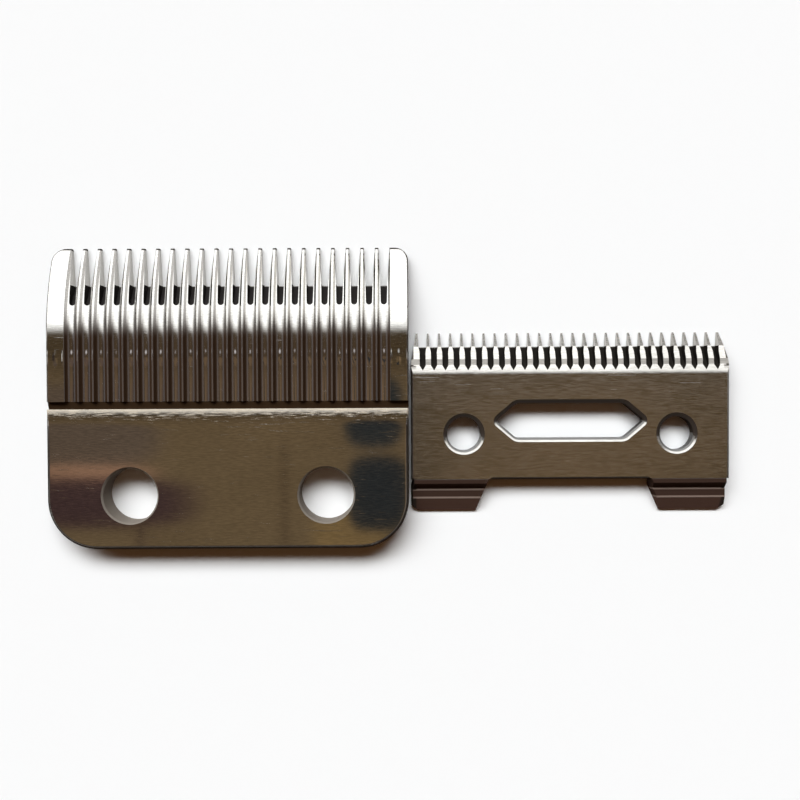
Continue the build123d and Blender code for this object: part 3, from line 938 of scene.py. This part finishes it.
def window_share(nodes, x, lean, mirrored):
    """One in the window: all of it as the steel mirrors it, its lower part as it lights the table."""
    lit = nodes.less(mirrored)
    off_middle = nodes.math("ABSOLUTE", nodes.math("MULTIPLY_ADD", lit, WINDOW_TO_LEFT, x))
    sides = [nodes.math("MULTIPLY_ADD", lit, -WINDOW_NARROWER, side) for side in WINDOW_SIDES]
    parts = [
        nodes.product(nodes.ramp(lean, *top), nodes.ramp(lean, *foot), light)
        for (top, foot), light in ((WINDOW_IN_MIRROR, mirrored), (WINDOW_ON_TABLE, lit))
    ]
    return nodes.product(nodes.math("ADD", *parts), nodes.ramp(off_middle, *sides))


def make_sky(settings):
    """Soft window on the teeth's side, and a dim room round it that the steel mirrors."""
    world = bpy.data.worlds.new("studio")
    bpy.context.scene.world = world
    world.use_nodes = True
    nodes = Nodes(world.node_tree)
    _, (x, y, z) = place(nodes, "Generated")
    lean = nodes.math("DEGREES", nodes.math("ARCTAN2", y, z))
    mirrored = nodes.add("ShaderNodeLightPath").outputs["Is Glossy Ray"]
    tone = nodes.mix(mirrored, colour(settings.room), room_light(nodes, x, y, z, lean, settings))
    strength = nodes.raised(settings.window, (settings.window_glare - settings.window, mirrored))
    room = nodes.add("ShaderNodeBackground", {"Color": tone, "Strength": 1.0})
    window = nodes.add("ShaderNodeBackground", {
        "Color": colour(settings.window_tone), "Strength": strength})
    opening = window_share(nodes, x, lean, mirrored)
    nodes.show(nodes.blend(opening, room, window), "ShaderNodeOutputWorld")


def make_camera(settings):
    """Camera above the blades."""
    data = bpy.data.cameras.new("camera")
    data.sensor_fit = "HORIZONTAL"
    data.sensor_width = 36.0
    data.lens = settings.camera_lens
    data.clip_start = 0.001
    data.clip_end = 100.0
    camera = bpy.data.objects.new("camera", data)
    camera.location = settings.camera_place
    camera.rotation_euler = settings.camera_turn
    bpy.context.scene.collection.objects.link(camera)
    bpy.context.scene.camera = camera


class BLADESET_OT_comb(bpy.types.Operator):
    """Gives the fixed comb blade its polished steel"""

    bl_idname = "blade_set.finish_comb"
    bl_label = "Finish comb blade"

    def execute(self, context):
        give_material("fixed_blade", comb_steel(context.scene.blade_set.comb))
        return {"FINISHED"}


class BLADESET_OT_cutter(bpy.types.Operator):
    """Gives the cutter its ground steel"""

    bl_idname = "blade_set.finish_cutter"
    bl_label = "Finish cutter"

    def execute(self, context):
        give_material("cutter_blade", cutter_steel(context.scene.blade_set.cutter))
        return {"FINISHED"}


class BLADESET_OT_stage(bpy.types.Operator):
    """Makes the table, the backdrop, the light and the camera"""

    bl_idname = "blade_set.set_stage"
    bl_label = "Set stage"

    def execute(self, context):
        settings = context.scene.blade_set.stage
        make_table(settings)
        make_backdrop(settings)
        make_sky(settings)
        make_camera(settings)
        context.scene.view_settings.view_transform = "Standard"
        return {"FINISHED"}


class BLADESET_PT_panel(bpy.types.Panel):
    """Lists the steps that finish the set"""

    bl_idname = "BLADESET_PT_panel"
    bl_label = "Blade Set"
    bl_space_type = "VIEW_3D"
    bl_region_type = "UI"
    bl_category = "Blade Set"

    def draw(self, context):
        for step in STEPS:
            self.layout.operator(step.bl_idname)


STEPS = (BLADESET_OT_comb, BLADESET_OT_cutter, BLADESET_OT_stage)
CLASSES = (CombBladeFinish, CutterFinish, StageSettings, BladeSet, *STEPS, BLADESET_PT_panel)


def register():
    for item in CLASSES:
        bpy.utils.register_class(item)
    bpy.types.Scene.blade_set = bpy.props.PointerProperty(type=BladeSet)


def unregister():
    del bpy.types.Scene.blade_set
    for item in reversed(CLASSES):
        bpy.utils.unregister_class(item)


def main():
    register()
    bpy.ops.blade_set.finish_comb()
    bpy.ops.blade_set.finish_cutter()
    bpy.ops.blade_set.set_stage()


if __name__ == "__main__":
    main()
